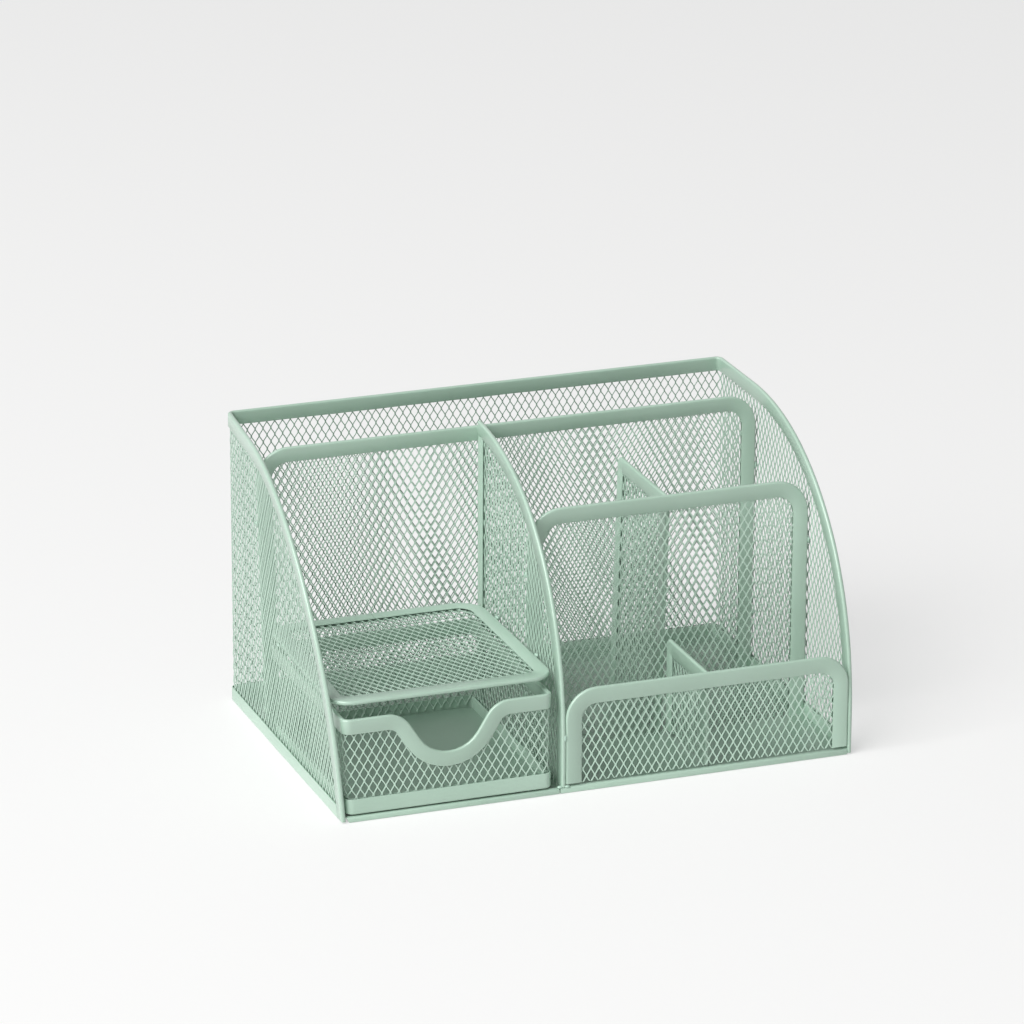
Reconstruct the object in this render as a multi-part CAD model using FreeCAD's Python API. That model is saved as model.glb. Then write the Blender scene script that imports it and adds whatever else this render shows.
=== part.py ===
import FreeCAD, Part
import math
import os
from FreeCAD import Vector

# Mesh desk organiser with pen compartments, a letter slot, a shelf and a drawer.
# Millimetres. Origin: centre of the footprint, on the desk. +X right, -Y front, +Z up.

# Overall size
WIDTH = 220.0
DEPTH = 146.0
HEIGHT = 127.0

# Expanded-metal sheet and the strip folded over its cut edges
SHEET = 0.6
STRIP = 1.8
STRIP_WIDTH = 6.0
FOLD = 1.0               # from the strip's outer edge to the sheet's cut edge
FLOOR = 1.0

# Diamond openings in the sheets, in a plain coarse grid: the real ones are 3.5 by 6.1 mm
OPENING_PITCH = (17.5, 18.3)
OPENING_WIDTH, OPENING_HEIGHT = 13.8, 14.5
SMALLEST_OPENING = 25.0  # mm2, below which a cut-off diamond at an edge is left closed
WHOLE_EDGE = 1.5         # metal left whole beside a strip
WELD_BAR = 5.0           # metal left whole where another piece is fixed to the sheet

# Side profile: flat top at the back, then a superellipse quarter down to the front edge
CURVE_START_Y = 35.8
CURVE_END_Z = 18.0
CURVE_POWER = 2.1
DIVIDER_TOP = 126.0

# Left wall leans out towards the front top corner, by this much per mm of height there
SPLAY = 0.095

# Upright panels: (plane, top, strip width, corner radius)
REAR_Y, REAR_TOP, REAR_STRIP, REAR_RADIUS = 30.0, 123.7, 6.3, 13.5
MIDDLE_Y, MIDDLE_TOP, MIDDLE_STRIP, MIDDLE_RADIUS = -27.0, 105.0, 6.7, 14.5
FRONT_Y, FRONT_TOP, FRONT_STRIP, FRONT_RADIUS = -72.0, 44.1, 6.7, 13.0
FRONT_BOTTOM = 3.2
CENTRE_X = -15.9

# Small dividers between the panels
PEN_X, PEN_TOP, PEN_LEAN = 44.0, 103.7, 1.6
CLIP_X, CLIP_TOP, CLIP_STRIP = 46.8, 43.2, 5.0

# Shelf over the drawer
SHELF_TOP = 50.4
SHELF_THICK = 2.4
SHELF_FRONT_Y, SHELF_BACK_Y, SHELF_RIGHT_X = -69.5, 23.0, -18.1
SHELF_STRIP = 6.4
SHELF_FRONT_RADIUS, SHELF_BACK_RADIUS = 9.8, 12.0

# Sill along the front of the floor
SILL_HEIGHT = 3.2
SILL_JOINT_X = -17.6
SILL_JOINT = 0.4

# Drawer
DRAWER_FRONT_Y, DRAWER_BACK_Y = -72.5, 20.0
DRAWER_LEFT_X, DRAWER_RIGHT_X = -108.0, -20.4
DRAWER_FLARE = 1.4       # how much further out the left wall is at the top
DRAWER_BOTTOM, DRAWER_TOP = 3.7, 44.0
DRAWER_STRIP, DRAWER_SKIRT = 6.5, 6.1
DRAWER_FRONT_RADIUS, DRAWER_BACK_RADIUS = 3.6, 3.0
DRAWER_FLOOR = 0.8
PULL_X, PULL_HALF_WIDTH, PULL_DEPTH = -64.5, 19.4, 31.1
PULL_SHOULDER_RADIUS, PULL_FLOOR_RADIUS = 11.0, 14.0

# Spot welds
WELD_RADIUS = 0.8
SHELF_WELDS_Y = (2.4, -43.5)
REAR_WELDS_Z = (26.0, 92.0)
MIDDLE_WELDS_Z = (26.0, 78.0)

BEYOND = 30.0            # how far a construction face runs past the edge it is cut at

SIDE_X = WIDTH / 2 - STRIP / 2          # mid-plane of the side walls
WALL_INNER_X = WIDTH / 2 - STRIP        # inner face of the strips on the side walls
BACK_Y = DEPTH / 2 - STRIP / 2
FRONT_EDGE_Y = -DEPTH / 2
BACK_EDGE_Y = DEPTH / 2


def rounded_face(corners):
    """Flat face in the (u, v) plane through corners (u, v, radius)."""
    points = [Vector(u, v, 0) for u, v, _ in corners]
    edges = []
    starts = []
    ends = []
    arcs = []
    for index, (_, _, radius) in enumerate(corners):
        corner = points[index]
        to_last = (points[index - 1] - corner).normalize()
        to_next = (points[(index + 1) % len(points)] - corner).normalize()
        if radius == 0:
            starts.append(corner)
            ends.append(corner)
            arcs.append(None)
            continue
        half_angle = to_last.getAngle(to_next) / 2
        run = radius / math.tan(half_angle)
        middle = (to_last + to_next).normalize()
        crown = corner + middle * (radius / math.sin(half_angle) - radius)
        starts.append(corner + to_last * run)
        ends.append(corner + to_next * run)
        arcs.append(crown)
    for index, arc in enumerate(arcs):
        if arc is not None:
            edges.append(Part.Arc(starts[index], arc, ends[index]).toShape())
        following = starts[(index + 1) % len(starts)]
        if (following - ends[index]).Length > 1e-6:
            edges.append(Part.LineSegment(ends[index], following).toShape())
    return Part.Face(Part.Wire(edges))


def window(u_low, u_high, v_low, v_high):
    return rounded_face([(u_low, v_low, 0), (u_high, v_low, 0), (u_high, v_high, 0), (u_low, v_high, 0)])


def stand_across_x(face, thickness, x):
    """Thicken a (y, z) face about the plane at x."""
    solid = face.extrude(Vector(0, 0, thickness))
    solid.translate(Vector(0, 0, -thickness / 2))
    solid.rotate(Vector(0, 0, 0), Vector(1, 1, 1), 120)
    solid.translate(Vector(x, 0, 0))
    return solid


def stand_across_y(face, thickness, y):
    """Thicken an (x, z) face about the plane at y."""
    solid = face.extrude(Vector(0, 0, thickness))
    solid.translate(Vector(0, 0, -thickness / 2))
    solid.rotate(Vector(0, 0, 0), Vector(1, 0, 0), 90)
    solid.translate(Vector(0, y, 0))
    return solid


def lay_flat(face, thickness, z):
    """Thicken an (x, y) face about the plane at z."""
    solid = face.extrude(Vector(0, 0, thickness))
    solid.translate(Vector(0, 0, z - thickness / 2))
    return solid


def block(x_low, x_high, y_low, y_high, z_low, z_high):
    size = (x_high - x_low, y_high - y_low, z_high - z_low)
    return Part.makeBox(*size, Vector(x_low, y_low, z_low))


def edge_strip(outline, width, kept):
    """The part of an outline within width of its edge, inside the kept window."""
    return outline.cut(outline.makeOffset2D(-width)).common(kept)


def sheet_face(outline, kept):
    """The sheet that an edge strip holds: cut back to the fold."""
    return outline.makeOffset2D(-FOLD).common(kept)


def diamond(u, v):
    """Flat diamond face centred on (u, v)."""
    half_width = OPENING_WIDTH / 2
    half_height = OPENING_HEIGHT / 2
    return rounded_face([(u - half_width, v, 0), (u, v - half_height, 0),
                         (u + half_width, v, 0), (u, v + half_height, 0)])


def diamond_openings(field, upright_bars=(), level_bars=()):
    """Staggered rows of diamonds that fill a field of sheet, cut off at its edge and at the bars."""
    for u in upright_bars:
        field = field.cut(window(u - WELD_BAR / 2, u + WELD_BAR / 2, -HEIGHT, 2 * HEIGHT))
    for v in level_bars:
        field = field.cut(window(-WIDTH, WIDTH, v - WELD_BAR / 2, v + WELD_BAR / 2))
    across, up = OPENING_PITCH
    bounds = field.BoundBox
    columns = math.ceil(bounds.XLength / across / 2)
    rows = math.ceil(bounds.YLength / up)
    diamonds = []
    for row in range(-rows, rows + 1):
        shift = row % 2 / 2
        for column in range(-columns, columns + 1):
            u = bounds.Center.x + (column + shift) * across
            v = bounds.Center.y + row * up / 2
            diamonds.append(diamond(u, v))
    openings = Part.makeCompound(diamonds).common(field)
    return Part.makeCompound([face for face in openings.Faces if face.Area > SMALLEST_OPENING])


def save(node, shape):
    solids = shape.Solids
    shape = solids[0] if len(solids) == 1 else Part.makeCompound(solids)
    shape.exportStep("parts/%s.step" % node)


def curved_profile(top, inset=0.0):
    """Side outline of a wall, drawn in by inset, and run on past its back and bottom edges."""
    reach = CURVE_START_Y - FRONT_EDGE_Y
    rise = top - CURVE_END_Z
    steps = 14
    points = []
    for step in range(steps + 1):
        angle = math.pi / 2 * step / steps
        forward = math.sin(angle) ** (2 / CURVE_POWER)
        up = max(math.cos(angle), 0) ** (2 / CURVE_POWER)
        inward = Vector(forward ** (CURVE_POWER - 1) / reach, -up ** (CURVE_POWER - 1) / rise, 0)
        on_curve = Vector(CURVE_START_Y - reach * forward, CURVE_END_Z + rise * up, 0)
        points.append(on_curve + inward.normalize() * inset)
    curve = Part.BSplineCurve()
    curve.interpolate(Points=points, InitialTangent=Vector(-1, 0, 0), FinalTangent=Vector(0, -1, 0))
    corners = [points[-1], Vector(FRONT_EDGE_Y + inset, -BEYOND, 0), Vector(BACK_EDGE_Y + BEYOND, -BEYOND, 0),
               Vector(BACK_EDGE_Y + BEYOND, top - inset, 0), points[0]]
    lines = [Part.LineSegment(a, b).toShape() for a, b in zip(corners, corners[1:])]
    return Part.Face(Part.Wire([curve.toShape()] + lines))


def splay_at(y, z):
    """How far the left wall has moved out at a point on it."""
    return SPLAY * z * (BACK_EDGE_Y - y) / DEPTH


def left_slab(thickness):
    """Twisted slab that the left wall is cut from: upright at the back, leaning at the front."""
    def surface(shift):
        def point(y, z):
            return Vector(-SIDE_X + shift - splay_at(y, z), y, z)
        low = Part.LineSegment(point(FRONT_EDGE_Y, 0), point(BACK_EDGE_Y, 0)).toShape()
        high = Part.LineSegment(point(FRONT_EDGE_Y, HEIGHT), point(BACK_EDGE_Y, HEIGHT)).toShape()
        return low, high
    outer_low, outer_high = surface(-thickness / 2)
    inner_low, inner_high = surface(thickness / 2)
    faces = [Part.makeRuledSurface(outer_low, outer_high), Part.makeRuledSurface(inner_low, inner_high),
             Part.makeRuledSurface(outer_low, inner_low), Part.makeRuledSurface(outer_high, inner_high)]
    for end in (0, 1):
        rim = [edge.Vertexes[end].Point for edge in (outer_low, inner_low, inner_high, outer_high)]
        faces.append(Part.Face(Part.makePolygon(rim + rim[:1])))
    shell = Part.makeShell(faces)
    shell.sewShape()
    solid = Part.makeSolid(shell)
    if solid.Volume < 0:
        solid.reverse()
    return solid


def side_walls():
    """Left and right walls: sheet, curved top strip and base strip each."""
    upper = window(FRONT_EDGE_Y, BACK_EDGE_Y, 0, HEIGHT)
    mesh_area = window(FRONT_EDGE_Y, BACK_Y + SHEET / 2, FOLD, HEIGHT)
    base_front = FRONT_EDGE_Y + STRIP_WIDTH
    faces = {"wall_mesh": curved_profile(HEIGHT, FOLD).common(mesh_area),
             "wall_rim": curved_profile(HEIGHT).cut(curved_profile(HEIGHT, STRIP_WIDTH)).common(upper),
             "base_strip": window(base_front, BACK_EDGE_Y, 0, STRIP_WIDTH)}
    whole = STRIP_WIDTH + WHOLE_EDGE
    field = curved_profile(HEIGHT, whole).common(window(FRONT_EDGE_Y, BACK_Y - STRIP, whole, HEIGHT))
    openings = {"left_": diamond_openings(field, [REAR_Y], [SHELF_TOP - SHELF_THICK / 2]),
                "right_": diamond_openings(field, [MIDDLE_Y, REAR_Y])}
    walls = {}
    span = 2 * BEYOND
    for name, face in faces.items():
        thickness = SHEET if name == "wall_mesh" else STRIP
        walls["left_" + name] = stand_across_x(face, span, -SIDE_X).common(left_slab(thickness))
        walls["right_" + name] = stand_across_x(face, thickness, SIDE_X)
    for side, x in (("left_", -SIDE_X), ("right_", SIDE_X)):
        sheet = walls[side + "wall_mesh"]
        for name in ("wall_rim", "base_strip"):
            walls[side + name] = walls[side + name].cut(sheet)
        walls[side + "wall_mesh"] = sheet.cut(stand_across_x(openings[side], span, x))
    return walls


def back_wall():
    """Flat back wall; its mesh meets the side meshes between the strips and stops short inside them."""
    corner = SIDE_X - SHEET / 2
    bare = window(-corner, corner, STRIP_WIDTH, HEIGHT - STRIP_WIDTH)
    clamped = window(-WALL_INNER_X, WALL_INNER_X, FOLD, HEIGHT - FOLD)
    sheet = bare.fuse(clamped).removeSplitter()
    whole = STRIP_WIDTH + WHOLE_EDGE
    field = window(WHOLE_EDGE - WALL_INNER_X, WALL_INNER_X - WHOLE_EDGE, whole, HEIGHT - whole)
    mesh = stand_across_y(sheet.cut(diamond_openings(field)), SHEET, BACK_Y)
    rim = stand_across_y(window(-WALL_INNER_X, WALL_INNER_X, HEIGHT - STRIP_WIDTH, HEIGHT), STRIP, BACK_Y)
    base = stand_across_y(window(-WALL_INNER_X, WALL_INNER_X, 0, STRIP_WIDTH), STRIP, BACK_Y)
    return {"back_wall_mesh": mesh, "back_wall_rim": rim.cut(mesh), "back_base_strip": base.cut(mesh)}


def floor():
    """Solid floor plate and the rolled sill along its front edge, in two lengths."""
    sill_back = FRONT_EDGE_Y + STRIP_WIDTH
    plate = block(-WALL_INNER_X, WALL_INNER_X, sill_back, BACK_EDGE_Y - STRIP, 0, FLOOR)
    left = block(-WALL_INNER_X, SILL_JOINT_X, FRONT_EDGE_Y, sill_back, 0, SILL_HEIGHT)
    right = block(SILL_JOINT_X + SILL_JOINT, WALL_INNER_X, FRONT_EDGE_Y, sill_back, 0, SILL_HEIGHT)
    return {"floor_plate": plate, "front_sill_left": left, "front_sill_right": right}


def upright_panel(name, y, left_low, left_high, right, bottom, top, width, radius, bars):
    """Mesh panel across the organiser with a strip over its top and sides, open at the bottom."""
    lean = (left_high - left_low) / (top - bottom)
    below = bottom - BEYOND
    outline = rounded_face([(left_low - lean * BEYOND, below, 0), (right, below, 0),
                            (right, top, radius), (left_high, top, radius)])
    kept = window(left_high - BEYOND, right, bottom, top)
    open_area = window(left_high - BEYOND, right, bottom + WHOLE_EDGE, top)
    field = outline.makeOffset2D(-width - WHOLE_EDGE).common(open_area)
    sheet = sheet_face(outline, kept).cut(diamond_openings(field, bars))
    mesh = stand_across_y(sheet, SHEET, y)
    rim = stand_across_y(edge_strip(outline, width, kept), STRIP, y).cut(mesh)
    return {name + "_mesh": mesh, name + "_rim": rim}


def centre_divider():
    """Curved divider from the rear panel to the sill, with a strip up its back edge as well."""
    back_end = REAR_Y - STRIP / 2
    profile = curved_profile(DIVIDER_TOP)
    sill_area = window(FRONT_EDGE_Y, FRONT_EDGE_Y + STRIP_WIDTH, 0, SILL_HEIGHT)
    mesh_area = window(FRONT_EDGE_Y, back_end - FOLD, FLOOR, DIVIDER_TOP).cut(sill_area)
    rim_area = window(FRONT_EDGE_Y, back_end - STRIP_WIDTH, FLOOR, DIVIDER_TOP).cut(sill_area)
    back_area = window(back_end - STRIP_WIDTH, back_end, FLOOR, DIVIDER_TOP)
    rim_face = profile.cut(curved_profile(DIVIDER_TOP, STRIP_WIDTH)).common(rim_area)
    open_area = window(FRONT_EDGE_Y, back_end - STRIP_WIDTH - WHOLE_EDGE, FLOOR + WHOLE_EDGE, DIVIDER_TOP)
    field = curved_profile(DIVIDER_TOP, STRIP_WIDTH + WHOLE_EDGE).common(open_area)
    openings = diamond_openings(field, [MIDDLE_Y], [SHELF_TOP - SHELF_THICK / 2])
    sheet = curved_profile(DIVIDER_TOP, FOLD).common(mesh_area).cut(openings)
    mesh = stand_across_x(sheet, SHEET, CENTRE_X)
    rim = stand_across_x(rim_face, STRIP, CENTRE_X).cut(mesh)
    back_strip = stand_across_x(profile.common(back_area), STRIP, CENTRE_X).cut(mesh)
    return {"centre_divider_mesh": mesh, "centre_divider_rim": rim, "centre_divider_back_strip": back_strip}


def small_divider(name, x, y_low, y_high, bottom, top, width, radius, lean):
    """Small mesh divider between two panels, open at the bottom, leaning by an angle."""
    outline = rounded_face([(y_low, bottom - BEYOND, 0), (y_high, bottom - BEYOND, 0),
                            (y_high, top, radius), (y_low, top, radius)])
    kept = window(y_low, y_high, bottom, top)
    open_area = window(y_low, y_high, bottom + WHOLE_EDGE, top)
    field = outline.makeOffset2D(-width - WHOLE_EDGE).common(open_area)
    mesh = stand_across_x(sheet_face(outline, kept).cut(diamond_openings(field)), SHEET, x)
    rim = stand_across_x(edge_strip(outline, width, kept), STRIP, x).cut(mesh)
    for solid in (mesh, rim):
        solid.rotate(Vector(x, 0, bottom), Vector(0, 1, 0), lean)
    return {name + "_mesh": mesh, name + "_rim": rim}


def shelf():
    """Mesh shelf with a strip folded round all four edges; its left edge follows the leaning wall."""
    level = SHELF_TOP - SHELF_THICK / 2
    front_left = -WALL_INNER_X - splay_at(SHELF_FRONT_Y, level)
    back_left = -WALL_INNER_X - splay_at(SHELF_BACK_Y, level)
    outline = rounded_face([(front_left, SHELF_FRONT_Y, SHELF_FRONT_RADIUS),
                            (SHELF_RIGHT_X, SHELF_FRONT_Y, SHELF_FRONT_RADIUS),
                            (SHELF_RIGHT_X, SHELF_BACK_Y, SHELF_BACK_RADIUS),
                            (back_left, SHELF_BACK_Y, SHELF_BACK_RADIUS)])
    openings = diamond_openings(outline.makeOffset2D(-SHELF_STRIP - WHOLE_EDGE))
    mesh = lay_flat(outline.makeOffset2D(-FOLD).cut(openings), SHEET, level)
    rim = lay_flat(outline.cut(outline.makeOffset2D(-SHELF_STRIP)), SHELF_THICK, level).cut(mesh)
    return {"shelf_mesh": mesh, "shelf_rim": rim}


def drawer_shell(inset, z_low, z_high):
    """Block filling the drawer's outline between two heights, drawn in by inset."""
    wires = []
    for z in (z_low, z_high):
        flare = DRAWER_FLARE * (z - DRAWER_BOTTOM) / (DRAWER_TOP - DRAWER_BOTTOM)
        left = DRAWER_LEFT_X - flare + inset
        right = DRAWER_RIGHT_X - inset
        front = DRAWER_FRONT_Y + inset
        back = DRAWER_BACK_Y - inset
        front_radius = DRAWER_FRONT_RADIUS - inset
        back_radius = DRAWER_BACK_RADIUS - inset
        face = rounded_face([(left, front, front_radius), (right, front, front_radius),
                             (right, back, back_radius), (left, back, back_radius)])
        wire = face.OuterWire
        wire.translate(Vector(0, 0, z))
        wires.append(wire)
    return Part.makeLoft(wires, True, True)


def drawer_ring(outer_inset, inner_inset, z_low, z_high):
    return drawer_shell(outer_inset, z_low, z_high).cut(drawer_shell(inner_inset, z_low, z_high))


def drawer():
    """Open-topped drawer: floor, mesh walls, skirt strips and top strips, with a finger cut-out."""
    front_end = DRAWER_FRONT_Y + DRAWER_FRONT_RADIUS
    back_end = DRAWER_BACK_Y - DRAWER_BACK_RADIUS
    middle_x = (DRAWER_LEFT_X + DRAWER_RIGHT_X) / 2
    far_left = DRAWER_LEFT_X - BEYOND
    far_right = DRAWER_RIGHT_X + BEYOND
    low, high = DRAWER_BOTTOM, DRAWER_TOP
    zones = {"front": block(far_left, far_right, DRAWER_FRONT_Y, front_end, low, high),
             "left": block(far_left, middle_x, front_end, back_end, low, high),
             "right": block(middle_x, far_right, front_end, back_end, low, high),
             "back": block(far_left, far_right, back_end, DRAWER_BACK_Y, low, high)}

    # Finger cut-out: a V with rounded shoulders and a round bottom
    front_face = rounded_face([(far_left, -BEYOND, 0), (far_right, -BEYOND, 0), (far_right, high, 0),
                               (PULL_X + PULL_HALF_WIDTH, high, PULL_SHOULDER_RADIUS),
                               (PULL_X, high - PULL_DEPTH, PULL_FLOOR_RADIUS),
                               (PULL_X - PULL_HALF_WIDTH, high, PULL_SHOULDER_RADIUS), (far_left, high, 0)])
    across = window(far_left, far_right, low, high)
    through = 4 * DRAWER_STRIP
    mesh_cutter = stand_across_y(sheet_face(front_face, across), through, DRAWER_FRONT_Y)
    rim_cutter = stand_across_y(edge_strip(front_face, DRAWER_STRIP, across), through, DRAWER_FRONT_Y)

    # Openings through the two sides, between the skirt and the top strip
    side_field = window(front_end + WHOLE_EDGE, back_end - WHOLE_EDGE,
                        low + DRAWER_SKIRT + WHOLE_EDGE, high - DRAWER_STRIP - WHOLE_EDGE)
    side_openings = diamond_openings(side_field)
    side_cutters = {"left": stand_across_x(side_openings, through, DRAWER_LEFT_X),
                    "right": stand_across_x(side_openings, through, DRAWER_RIGHT_X)}

    half = (STRIP - SHEET) / 2
    mesh_ring = drawer_ring(half, half + SHEET, low + DRAWER_FLOOR, high - FOLD)
    pieces = {}
    for side, zone in zones.items():
        mesh = mesh_ring.common(zone)
        if side == "front":
            mesh = mesh.common(mesh_cutter)
            rim = drawer_ring(0, STRIP, low, high).common(zone).common(rim_cutter)
        else:
            rim = drawer_ring(0, STRIP, high - DRAWER_STRIP, high).common(zone)
        # The skirt is folded round the mesh, but stands only behind it at the back
        skirt = drawer_ring(0, half if side == "back" else STRIP, low, low + DRAWER_SKIRT).common(zone)
        pieces["drawer_%s_rim" % side] = rim.cut(mesh)
        pieces["drawer_%s_skirt" % side] = skirt.cut(mesh)
        if side in side_cutters:
            mesh = mesh.cut(side_cutters[side])
        pieces["drawer_%s_mesh" % side] = mesh
    to_back_mesh = block(DRAWER_LEFT_X + DRAWER_BACK_RADIUS, DRAWER_RIGHT_X - DRAWER_BACK_RADIUS,
                         back_end - STRIP, DRAWER_BACK_Y - half - SHEET, low, low + DRAWER_FLOOR)
    pieces["drawer_floor"] = drawer_shell(STRIP, low, low + DRAWER_FLOOR).fuse(to_back_mesh).removeSplitter()
    return pieces


def weld(x, y, z, axis, neighbours):
    """Spot weld centred on a point, trimmed to the gap between its neighbours."""
    length = 2 * (STRIP - SHEET)
    centre = Vector(x, y, z)
    nugget = Part.makeCylinder(WELD_RADIUS, length, centre - axis * (length / 2), axis)
    for neighbour in neighbours:
        nugget = nugget.cut(neighbour)
    return min(nugget.Solids, key=lambda solid: (solid.CenterOfMass - centre).Length)


def welds(pieces):
    """Spot welds that hold the shelf and the panels to the walls."""
    along_x = Vector(1, 0, 0)
    along_y = Vector(0, 1, 0)
    half_gap = (STRIP - SHEET) / 4
    left_wall = pieces["left_wall_mesh"]
    right_wall = pieces["right_wall_mesh"]
    divider = pieces["centre_divider_mesh"]

    level = SHELF_TOP - SHELF_THICK / 2
    beside_shelf = (SHELF_RIGHT_X + CENTRE_X - SHEET / 2) / 2
    shelf_pair = [pieces["shelf_rim"], pieces["shelf_mesh"]]
    shelf_spots = []
    for y in SHELF_WELDS_Y:
        left_x = -WALL_INNER_X - half_gap - splay_at(y, level)
        shelf_spots.append(weld(left_x, y, level, along_x, shelf_pair + [left_wall]))
        shelf_spots.append(weld(beside_shelf, y, level, along_x, shelf_pair + [divider]))

    rear_pair = [pieces["rear_panel_rim"], pieces["rear_panel_mesh"]]
    middle_pair = [pieces["middle_panel_rim"], pieces["middle_panel_mesh"]]
    back_of_divider = [pieces["centre_divider_back_strip"], divider]
    panel_spots = []
    for z in REAR_WELDS_Z:
        left_x = -WALL_INNER_X - half_gap - splay_at(REAR_Y, z)
        panel_spots.append(weld(left_x, REAR_Y, z, along_x, rear_pair + [left_wall]))
        panel_spots.append(weld(WALL_INNER_X + half_gap, REAR_Y, z, along_x, rear_pair + [right_wall]))
        panel_spots.append(weld(CENTRE_X, REAR_Y - STRIP / 2 + half_gap, z, along_y,
                                back_of_divider + [pieces["rear_panel_mesh"]]))
    beside_divider = CENTRE_X + STRIP / 2 - half_gap
    for z in MIDDLE_WELDS_Z:
        panel_spots.append(weld(WALL_INNER_X + half_gap, MIDDLE_Y, z, along_x, middle_pair + [right_wall]))
        panel_spots.append(weld(beside_divider, MIDDLE_Y, z, along_x, middle_pair + [divider]))
    return {"shelf_welds": Part.makeCompound(shelf_spots), "panel_welds": Part.makeCompound(panel_spots)}


def build():
    pieces = {}
    pieces.update(side_walls())
    pieces.update(back_wall())
    pieces.update(floor())
    rear_left = -WALL_INNER_X - splay_at(REAR_Y, FLOOR)
    rear_left_top = -WALL_INNER_X - splay_at(REAR_Y, REAR_TOP)
    beside_divider = CENTRE_X + STRIP / 2
    pieces.update(upright_panel("rear_panel", REAR_Y, rear_left, rear_left_top, WALL_INNER_X,
                                FLOOR, REAR_TOP, REAR_STRIP, REAR_RADIUS, [CENTRE_X, PEN_X]))
    pieces.update(upright_panel("middle_panel", MIDDLE_Y, beside_divider, beside_divider, WALL_INNER_X,
                                FLOOR, MIDDLE_TOP, MIDDLE_STRIP, MIDDLE_RADIUS, [(PEN_X + CLIP_X) / 2]))
    pieces.update(upright_panel("front_panel", FRONT_Y, beside_divider, beside_divider, WALL_INNER_X,
                                FRONT_BOTTOM, FRONT_TOP, FRONT_STRIP, FRONT_RADIUS, [CLIP_X]))
    pieces.update(centre_divider())
    above_floor = FLOOR + 0.1
    half = STRIP / 2
    pieces.update(small_divider("pen_divider", PEN_X, MIDDLE_Y + half, REAR_Y - half, above_floor,
                                PEN_TOP, STRIP_WIDTH, 3.0, PEN_LEAN))
    pieces.update(small_divider("clip_divider", CLIP_X, FRONT_Y + half, MIDDLE_Y - half,
                                SILL_HEIGHT, CLIP_TOP, CLIP_STRIP, 3.0, 0.0))
    pieces.update(shelf())
    pieces.update(drawer())
    pieces.update(welds(pieces))
    return pieces


os.makedirs("parts", exist_ok=True)
for node, shape in build().items():
    save(node, shape)
    print("%-28s solids %2d  valid %s" % (node, len(shape.Solids), shape.isValid()))
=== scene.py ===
import math

import bmesh
import bpy
from mathutils import Euler, Matrix, Vector, noise


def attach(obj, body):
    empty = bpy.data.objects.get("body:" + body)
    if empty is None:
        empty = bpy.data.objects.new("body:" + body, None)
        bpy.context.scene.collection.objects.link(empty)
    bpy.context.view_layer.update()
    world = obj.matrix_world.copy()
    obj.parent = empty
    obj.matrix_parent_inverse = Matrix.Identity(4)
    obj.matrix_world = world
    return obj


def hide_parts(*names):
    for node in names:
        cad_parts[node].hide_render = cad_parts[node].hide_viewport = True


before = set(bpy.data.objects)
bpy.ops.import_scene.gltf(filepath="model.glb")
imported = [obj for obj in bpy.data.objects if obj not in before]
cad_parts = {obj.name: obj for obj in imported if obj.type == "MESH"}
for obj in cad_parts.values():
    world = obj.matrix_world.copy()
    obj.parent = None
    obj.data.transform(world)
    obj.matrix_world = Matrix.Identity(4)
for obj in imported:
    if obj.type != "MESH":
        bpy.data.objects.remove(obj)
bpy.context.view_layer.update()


# POWDER COAT
# The whole organiser is steel, welded up and then sprayed and baked in one sage green
# powder coat. It is satin, with a fine orange peel, and it lies a little thicker in places.
# The floor plates are given a darker colour of it, which is painted shade.

def paint(red, green, blue):
    """Screen colour, 0 to 255, as the linear colour that the shader takes."""
    shares = (value / 255 for value in (red, green, blue))
    return tuple(c / 12.92 if c <= 0.04045 else ((c + 0.055) / 1.055) ** 2.4 for c in shares) + (1.0,)


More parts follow.
